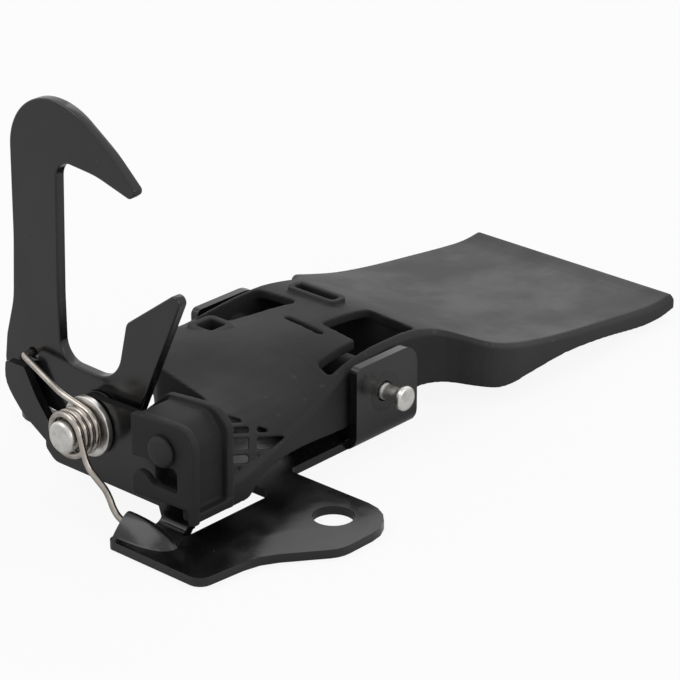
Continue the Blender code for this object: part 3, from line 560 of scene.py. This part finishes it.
def turned_piece(name, profile, axis, at, steps, closed=False):
    """A turned piece: each (height, radius) of the profile goes round the axis as
    at + height * axis + radius * (cos a * side + sin a * up), for a from 0 to a full turn."""
    along = np.array(axis, float)
    side = np.cross(along, (0.0, 0.0, 1.0))
    side /= np.linalg.norm(side)
    up = np.cross(along, side)
    heights, radii = np.array(profile, float).T * MM
    angle = np.linspace(0.0, 2.0 * math.pi, steps, endpoint=False)
    ring = np.cos(angle)[:, None] * side + np.sin(angle)[:, None] * up
    points = placed(at)[0] + heights[:, None, None] * along + radii[:, None, None] * ring[None]
    return grid_piece(name, points, closed, True)


def ring_profile(inner, outer, low, high, edge):
    """A washer's or bush's closed section with eased corners."""
    middle = (inner + outer) / 2.0
    loop = [(low, middle), (low, outer), (high, outer), (high, inner), (low, inner), (low, middle)]
    return eased(loop, edge)[:-1]


def smooth_run(points, steps):
    """A curve through every point. Between b and c, with neighbours a and d, it is
    (2b + (c-a)t + (2a-5b+4c-d)t^2 + (3b-a-3c+d)t^3) / 2 for t from 0 to 1."""
    given = np.array(points, float)
    padded = np.vstack([given[:1], given, given[-1:]])
    t = np.linspace(0.0, 1.0, steps, endpoint=False)[:, None]
    a, b, c, d = (padded[shift:len(padded) - 3 + shift, None] for shift in range(4))
    bend = (2 * a - 5 * b + 4 * c - d) * t ** 2 + (3 * b - a - 3 * c + d) * t ** 3
    run = 0.5 * (2 * b + (c - a) * t + bend)
    return np.vstack([run.reshape(-1, 3), given[-1:]])


def swept_tube(name, path, radius, sides):
    """A round tube: each path point plus radius * (cos a * normal + sin a * binormal). The normal
    is carried along the path by removing its part along each new tangent."""
    path = np.array(path, float)
    tangent = np.gradient(path, axis=0)
    tangent /= np.linalg.norm(tangent, axis=1)[:, None]
    normal = np.zeros_like(path)
    carried = np.cross(tangent[0], (0.0, 0.0, 1.0))
    for index, direction in enumerate(tangent):
        carried = carried - direction * carried.dot(direction)
        carried /= np.linalg.norm(carried)
        normal[index] = carried
    other = np.cross(tangent, normal)
    angle = np.linspace(0.0, 2.0 * math.pi, sides, endpoint=False)
    cosine, sine = np.cos(angle)[None, :, None], np.sin(angle)[None, :, None]
    ring = cosine * normal[:, None] + sine * other[:, None]
    return grid_piece(name, path[:, None] + radius * ring, False, True)


def round_edges(piece, width, segments):
    """Break the sharp edges with a live bevel whose faces take the second material."""
    modifier = piece.modifiers.new("edge_round", "BEVEL")
    modifier.width = width
    modifier.segments = segments
    modifier.limit_method = "ANGLE"
    modifier.angle_limit = math.radians(32.0)
    modifier.harden_normals = False
    modifier.use_clamp_overlap = True
    # the bevel faces take the paler edge coat: partly wear, partly painted highlight
    modifier.material = 1
    piece.data.shade_smooth()
    piece.data.set_sharp_from_angle(angle=math.radians(40.0))


def arc_outline(corners, step=math.radians(4.0)):
    """A closed outline from (x, z, radius) corners. Each corner becomes the arc that touches both of
    its sides: centre + radius * (cos a, sin a), from one touching point to the other."""
    given = np.array(corners, float)
    run = []
    for before, corner, after in zip(np.roll(given, 1, 0), given, np.roll(given, -1, 0)):
        back = (before - corner)[:2] / np.linalg.norm((before - corner)[:2])
        ahead = (after - corner)[:2] / np.linalg.norm((after - corner)[:2])
        half = 0.5 * math.acos(float(np.clip(back.dot(ahead), -1.0, 1.0)))
        radius = corner[2]
        if radius <= 0.0 or half > math.radians(89.5):
            run.append(corner[:2])
            continue
        middle = (back + ahead) / np.linalg.norm(back + ahead)
        centre = corner[:2] + middle * radius / math.sin(half)
        first = corner[:2] + back * radius / math.tan(half) - centre
        turn = math.pi - 2.0 * half
        if back[0] * ahead[1] - back[1] * ahead[0] > 0.0:
            turn = -turn
        angle = math.atan2(first[1], first[0]) + np.linspace(0.0, turn, max(2, int(abs(turn) / step)) + 1)
        run.extend(centre + radius * np.stack([np.cos(angle), np.sin(angle)], -1))
    return np.array(run)


def inward(loop, depth):
    """Move each point of a closed outline sideways by a depth, along the mean of its sides' normals."""
    side = np.roll(loop, -1, 0) - loop
    side /= np.linalg.norm(side, axis=1)[:, None]
    normal = np.stack([-side[:, 1], side[:, 0]], -1)
    mean = normal + np.roll(normal, 1, 0)
    mean *= 2.0 / (mean ** 2).sum(1)[:, None]
    return loop + depth * mean


def cut_plate(name, loops, front, rear, edge, segments):
    """A flat plate from closed outlines, the first one outside and the rest holes, with rounded edges.
    The rim is outline - depth * normal, with depth = edge * (1 - cos a) and height = edge * sin a
    over each quarter turn. Front and rear faces fill the innermost rings."""
    turn = np.linspace(0.0, 0.5 * math.pi, segments + 1)
    depth = np.concatenate([edge * (1.0 - np.sin(turn)), edge * (1.0 - np.cos(turn))])
    height = np.concatenate([front + edge * (1.0 - np.cos(turn)), rear - edge + edge * np.sin(turn)])
    edit = bmesh.new()
    caps = ([], [])
    for index, loop in enumerate(loops):
        area = (loop[:, 0] * np.roll(loop[:, 1], -1) - loop[:, 1] * np.roll(loop[:, 0], -1)).sum()
        way = 1.0 if (area > 0.0) == (index == 0) else -1.0
        rings = []
        for inset, level in zip(depth, height):
            ring = inward(loop, way * inset)
            points = placed(*np.insert(ring, 1, level, axis=1))
            rings.append([edit.verts.new(point) for point in points])
        count = len(loop)
        for low, high in zip(rings[:-1], rings[1:]):
            for start in range(count):
                edit.faces.new((low[start], low[(start + 1) % count], high[(start + 1) % count], high[start]))
        for cap, ring in zip(caps, (rings[0], rings[-1])):
            cap.extend(edit.edges.get((ring[start], ring[(start + 1) % count])) for start in range(count))
    for face in edit.faces:
        face.smooth = True
    for cap in caps:
        filled = bmesh.ops.triangle_fill(edit, edges=cap, use_beauty=True)
        for face in filled["geom"]:
            if isinstance(face, bmesh.types.BMFace):
                face.smooth = False
    bmesh.ops.recalc_face_normals(edit, faces=edit.faces)
    mesh = bpy.data.meshes.new(name)
    edit.to_mesh(mesh)
    edit.free()
    piece = bpy.data.objects.new(name, mesh)
    collection().objects.link(piece)
    return piece


def round_loop(x, z, radius, first, last, steps):
    """Points on a circle between two angles in degrees."""
    angle = np.radians(np.linspace(first, last, steps))
    return np.stack([x + radius * np.cos(angle), z + radius * np.sin(angle)], -1)


# Operators

class LATCH_OT_bracket(bpy.types.Operator):
    """Round the folded bracket's sheet edges and coat it."""

    bl_idname = "latch.bracket"
    bl_label = "Bracket"

    def execute(self, context):
        look = context.scene.latch_look
        # the second coat, on the bevelled edge faces, is paler: partly wear, partly painted highlight
        coats = [coated_steel(look), coated_steel(look, "semi_gloss_edge", 1.0)]
        bracket = merged_copy("base_bracket", "bracket_sheet")
        soften(bracket, DOME_LOW, DOME_HIGH, 3, 7)
        round_edges(bracket, look.sheet_round, 3)
        finish_piece(bracket, coats, "base", "coated_steel", "base_bracket")
        eye = round_loop(HOOK_X, HOOK_Z, EYE_R, EYE_FROM, EYE_TO, 40)
        outline = arc_outline([(*point, 0.0) for point in eye] + list(HOOK_CORNERS))
        bore = round_loop(HOOK_X, HOOK_Z, WASHER_BORE, 0.0, 356.0, 90)
        leg_hole = round_loop(*LEG_HOLE, LEG_HOLE_R, 0.0, 350.0, 36)
        hook = cut_plate("hook_plate", [outline, bore, leg_hole], HOOK_FRONT, HOOK_REAR,
                         PLATE_ROUND, PLATE_STEPS)
        finish_piece(hook, coats, "hook", "coated_steel", "safety_hook")
        return {"FINISHED"}


class LATCH_OT_fixings(bpy.types.Operator):
    """Turn the stud, its washers, the lever's pin and the bushes."""

    bl_idname = "latch.fixings"
    bl_label = "Fixings"

    def execute(self, context):
        look = context.scene.latch_look
        steps = look.turn_steps
        zinc = [plated_zinc(look)]
        nylon = [plain_nylon(look)]
        along = (0.0, 1.0, 0.0)
        at = (HOOK_X, 0.0, HOOK_Z)
        head = HOOK_REAR + FIT + REAR_WASHER_SHEET + FIT
        stud = eased([(STUD_FRONT, 0.0), (STUD_FRONT, STUD_R - 0.5), (STUD_FRONT + 0.5, STUD_R),
                      (head, STUD_R), (head, STUD_R + 2.0), (head + 0.7, STUD_R + 1.9),
                      (head + 1.5, STUD_R + 0.6), (head + 1.8, 0.0)], 0.3)
        finish_piece(turned_piece("stud_turned", stud, along, at, steps), zinc, "base", "zinc_steel",
                     "hook_stud")
        slip_rear = HOOK_FRONT - FIT
        rear_front = HOOK_REAR + FIT
        rings = [("washer_front", WASHER_R, WASHER_FRONT, WASHER_REAR, 0.3, zinc,
                  "zinc_steel", "stud_washer"),
                 ("washer_slip", SLIP_R, slip_rear - SLIP_SHEET, slip_rear, 0.1, nylon,
                  "nylon", "slip_washer"),
                 ("washer_rear", REAR_WASHER_R, rear_front, rear_front + REAR_WASHER_SHEET, 0.2, zinc,
                  "zinc_steel", "rear_washer")]
        for name, outer, low, high, edge, finish, slot, node in rings:
            section = ring_profile(WASHER_BORE, outer, low, high, edge)
            piece = turned_piece(name, section, along, at, steps, True)
            finish_piece(piece, finish, "base", slot, node)
        left = -EAR_SPAN - 1.4
        pin = eased([(6.6, 0.0), (6.6, 2.3), (6.3, PIN_END_R), (5.3, PIN_END_R), (4.6, 1.85), (3.9, NECK_R),
                     (0.9, NECK_R), (0.3, 2.0), (-2.0, 2.0), (-2.5, PIN_SHANK_R), (left, PIN_SHANK_R),
                     (left, PIN_HEAD_R), (left - 1.1, PIN_HEAD_R), (left - 1.6, 3.9),
                     (left - 1.6, 0.0)], 0.25)
        finish_piece(turned_piece("pin_turned", pin, (1.0, 0.0, 0.0), (0.0, PIN_Y, PIN_Z), steps), zinc,
                     "base", "zinc_steel", "lever_pin")
        bush = eased([(-1.0, 2.3), (0.0, 2.3), (0.0, 4.42), (-2.3, 4.42), (-2.3, BUSH_R), (-3.1, BUSH_R),
                      (-3.1, 3.2), (-2.6, 3.2), (-2.6, 2.3), (-1.0, 2.3)], 0.08)[:-1]
        plain = eased([(-1.0, 3.25), (0.0, 3.25), (0.0, 4.15), (-2.3, 4.15), (-2.3, BUSH_R),
                       (-3.1, BUSH_R), (-3.1, 3.25), (-1.0, 3.25)], 0.08)[:-1]
        bushes = (("bush_right", bush, 0.0, 1.0), ("bush_left", plain, -EAR_SPAN, -1.0))
        for name, section, x, side in bushes:
            piece = turned_piece(name, section, (side, 0.0, 0.0), (x, PIN_Y, PIN_Z), steps, True)
            finish_piece(piece, nylon, "base", "nylon", name.replace("bush", "pin_bush"))
        return {"FINISHED"}


def spring_path():
    """The wire's centre line: from the hook's hole down to the coil, round it, and on to the tab."""
    radius = STUD_R + FIT + WIRE_R + COIL_LOOSE
    back = WASHER_FRONT - FIT - WIRE_R
    knee = np.array(LEG_KNEE)
    span = knee - (HOOK_X, HOOK_Z)
    start = math.atan2(span[1], span[0]) - math.acos(radius / np.linalg.norm(span))
    touch = np.array((HOOK_X + radius * math.cos(start), HOOK_Z + radius * math.sin(start)))
    level = knee + LEG_LEVEL_SHARE * (touch - knee)
    upper = eased([LEG_END, (knee[0], LEG_KNEE_Y, knee[1]), (level[0], back, level[1]),
                   (touch[0], back, touch[1])], LEG_BEND, 8)
    sweep = 2.0 * math.pi * COIL_TURNS + start - math.radians(COIL_EXIT)
    turned = np.linspace(0.0, sweep, COIL_STEPS)
    coil = np.stack([HOOK_X + radius * np.cos(start - turned), back - COIL_PITCH * turned / (2.0 * math.pi),
                     HOOK_Z + radius * np.sin(start - turned)], -1)
    front = coil[-1, 1]
    leg = [(x, front, z) for x, z in LOWER_LEG]
    lower = smooth_run([coil[-1], *leg, (-11.8, front + 0.05, 4.2), *LEG_FOOT], 8)
    return placed(*upper, *coil[1:], *lower[1:])


class LATCH_OT_spring(bpy.types.Operator):
    """Wind the torsion spring."""

    bl_idname = "latch.spring"
    bl_label = "Spring"

    def execute(self, context):
        look = context.scene.latch_look
        wire = swept_tube("spring_wire_round", spring_path(), WIRE_R * MM, 24)
        finish_piece(wire, [drawn_wire(look)], "base", "spring_wire", "hook_spring")
        return {"FINISHED"}


class LATCH_OT_lever(bpy.types.Operator):
    """Give the moulded lever its rounded edges and its grain."""

    bl_idname = "latch.lever"
    bl_label = "Lever"

    def execute(self, context):
        look = context.scene.latch_look
        piece = merged_copy("release_lever", "lever_moulding", math.radians(0.05))
        remesh = piece.modifiers.new("mould", "REMESH")
        remesh.mode = "VOXEL"
        remesh.voxel_size = look.mould_voxel
        smooth = piece.modifiers.new("draft", "SMOOTH")
        smooth.factor = 0.5
        smooth.iterations = 9
        graph = context.evaluated_depsgraph_get()
        mesh = bpy.data.meshes.new_from_object(piece.evaluated_get(graph))
        piece.modifiers.clear()
        piece.data = mesh
        faces = len(mesh.polygons)
        thin = piece.modifiers.new("thin", "DECIMATE")
        thin.ratio = min(1.0, LEVER_FACES / faces)
        graph = context.evaluated_depsgraph_get()
        mesh = bpy.data.meshes.new_from_object(piece.evaluated_get(graph))
        piece.modifiers.clear()
        piece.data = mesh
        mesh.name = "lever_moulding"
        mesh.shade_smooth()
        finish_piece(piece, [moulded_plastic(look)], "lever", "moulded_plastic", "release_lever")
        return {"FINISHED"}


class LATCH_OT_buffer(bpy.types.Operator):
    """Turn the rubber buffer in the nose."""

    bl_idname = "latch.buffer"
    bl_label = "Buffer"

    def execute(self, context):
        look = context.scene.latch_look
        angle = np.radians(np.linspace(90.0, 0.0, 14))
        dome = np.stack([0.7 + BUFFER_CROWN * np.sin(angle), BUFFER_R * np.cos(angle)], -1)
        rest = eased([dome[-1], (0.3, BUFFER_R), (0.3, 2.3), (-2.3, 2.3), (-2.3, 2.9), (-3.1, 2.5),
                      (-3.1, 0.0)], 0.15)
        profile = np.vstack([dome[:-1], rest])
        plug = turned_piece("buffer_plug", profile, (0.0, -1.0, 0.0), BUFFER_AT, look.turn_steps)
        finish_piece(plug, [dull_rubber(look)], "lever", "rubber", "nose_buffer")
        return {"FINISHED"}


class LATCH_OT_stage(bpy.types.Operator):
    """Lay the pale floor, hang the soft lamps and set the photo's camera."""

    bl_idname = "latch.stage"
    bl_label = "Stage"

    def execute(self, context):
        scene = context.scene
        mesh = bpy.data.meshes.new("floor")
        corners = [(x * FLOOR_REACH, y * FLOOR_REACH, FLOOR_LOW)
                   for x, y in ((-1, -1), (1, -1), (1, 1), (-1, 1))]
        mesh.from_pydata(corners, [], [(0, 1, 2, 3)])
        floor = bpy.data.objects.new("floor", mesh)
        scene.collection.objects.link(floor)
        mesh.materials.append(floor_finish())
        scene.world = plain_world()
        for lamp in LAMPS:
            add_lamp(*lamp)
        data = bpy.data.cameras.new("photo_camera")
        data.sensor_width = SENSOR_MM
        data.lens = SENSOR_MM * FOCAL_PX / PHOTO_PX
        data.clip_start = 0.01
        camera = bpy.data.objects.new("photo_camera", data)
        camera.location = CAMERA_AT
        camera.rotation_euler = Vector(CAMERA_LOOK).to_track_quat("-Z", "Y").to_euler()
        scene.collection.objects.link(camera)
        scene.camera = camera
        scene.view_settings.view_transform = "Standard"
        return {"FINISHED"}


def add_lamp(name, at, size, power):
    """A square area lamp aimed at the latch."""
    data = bpy.data.lights.new(name, "AREA")
    data.size = size
    data.energy = power
    lamp = bpy.data.objects.new(name, data)
    lamp.location = at
    aim = Vector(LAMP_AIM) - Vector(at)
    lamp.rotation_euler = aim.to_track_quat("-Z", "Y").to_euler()
    bpy.context.scene.collection.objects.link(lamp)


def floor_finish():
    """White floor: lit normally, and lifted for camera rays so that only a faint shadow stays."""
    material = bpy.data.materials.new("pale_floor")
    material.use_nodes = True
    tree = material.node_tree
    shader = tree.nodes["Principled BSDF"]
    shader.inputs["Base Color"].default_value = (0.92, 0.92, 0.92, 1.0)
    shader.inputs["Roughness"].default_value = 0.9
    glow = tree.nodes.new("ShaderNodeEmission")
    glow.inputs["Color"].default_value = (1.0, 1.0, 1.0, 1.0)
    path = tree.nodes.new("ShaderNodeLightPath")
    share = tree.nodes.new("ShaderNodeMath")
    share.operation = "MULTIPLY"
    share.inputs[1].default_value = FLOOR_LIFT
    blend = tree.nodes.new("ShaderNodeMixShader")
    tree.links.new(path.outputs["Is Camera Ray"], share.inputs[0])
    tree.links.new(share.outputs[0], blend.inputs["Fac"])
    tree.links.new(shader.outputs["BSDF"], blend.inputs[1])
    tree.links.new(glow.outputs["Emission"], blend.inputs[2])
    tree.links.new(blend.outputs["Shader"], tree.nodes["Material Output"].inputs["Surface"])
    return material


def plain_world():
    """A white backdrop for the camera and for reflections, and a softer one for the light."""
    world = bpy.data.worlds.new("plain_backdrop")
    world.use_nodes = True
    tree = world.node_tree
    background = tree.nodes["Background"]
    background.inputs["Color"].default_value = (1.0, 1.0, 1.0, 1.0)
    path = tree.nodes.new("ShaderNodeLightPath")
    seen = tree.nodes.new("ShaderNodeMath")
    seen.operation = "MAXIMUM"
    mirrored = tree.nodes.new("ShaderNodeMath")
    mirrored.operation = "MAXIMUM"
    level = tree.nodes.new("ShaderNodeMapRange")
    level.inputs["To Min"].default_value = WORLD_LIGHT
    level.inputs["To Max"].default_value = 1.0
    tree.links.new(path.outputs["Is Glossy Ray"], mirrored.inputs[0])
    tree.links.new(path.outputs["Is Transmission Ray"], mirrored.inputs[1])
    tree.links.new(path.outputs["Is Camera Ray"], seen.inputs[0])
    tree.links.new(mirrored.outputs[0], seen.inputs[1])
    tree.links.new(seen.outputs[0], level.inputs["Value"])
    tree.links.new(level.outputs["Result"], background.inputs["Strength"])
    return world


class LATCH_PT_pieces(bpy.types.Panel):
    """The latch's pieces and its look, in the sidebar."""

    bl_idname = "LATCH_PT_pieces"
    bl_label = "Bonnet latch"
    bl_space_type = "VIEW_3D"
    bl_region_type = "UI"
    bl_category = "Latch"

    def draw(self, context):
        for operator in OPERATORS:
            self.layout.operator(operator.bl_idname)
        for name in LatchLook.__annotations__:
            self.layout.prop(context.scene.latch_look, name)


OPERATORS = (LATCH_OT_bracket, LATCH_OT_fixings, LATCH_OT_spring, LATCH_OT_lever, LATCH_OT_buffer,
             LATCH_OT_stage)
CLASSES = (LatchLook, *OPERATORS, LATCH_PT_pieces)


def register():
    """Add the classes and the scene's look."""
    for entry in CLASSES:
        bpy.utils.register_class(entry)
    bpy.types.Scene.latch_look = PointerProperty(type=LatchLook)


def unregister():
    """Take them away again."""
    del bpy.types.Scene.latch_look
    for entry in reversed(CLASSES):
        bpy.utils.unregister_class(entry)


def main():
    """Build every piece and the stage."""
    register()
    bpy.ops.latch.stage()
    bpy.ops.latch.bracket()
    bpy.ops.latch.fixings()
    bpy.ops.latch.spring()
    bpy.ops.latch.lever()
    bpy.ops.latch.buffer()


if __name__ == "__main__":
    main()
